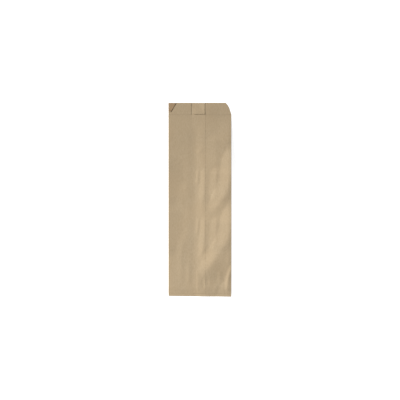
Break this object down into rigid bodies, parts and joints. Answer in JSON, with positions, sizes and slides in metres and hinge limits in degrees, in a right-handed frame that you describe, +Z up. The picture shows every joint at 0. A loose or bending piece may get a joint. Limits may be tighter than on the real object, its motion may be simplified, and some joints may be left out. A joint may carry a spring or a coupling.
{
  "type": "greaseproof paper bag",
  "caption": "Long flat greaseproof paper bag lying closed and empty, folded from one sheet with a lapped lengthwise seam, a turned-over end flap and an open mouth with a lip.",
  "frame": {"origin": "middle of the footprint, on the surface that the bag lies on", "axes": "+Y along the bag towards its closed end, +Z up from the plain face towards the seam face, +X across the bag"},
  "size_m": [0.1, 0.308, 0.0042],
  "materials": {
    "greaseproof_paper": "smooth, faint sheen"
  },
  "bodies": {
    "root": {"paper_bag": "greaseproof_paper"}
  },
  "joints": []
}
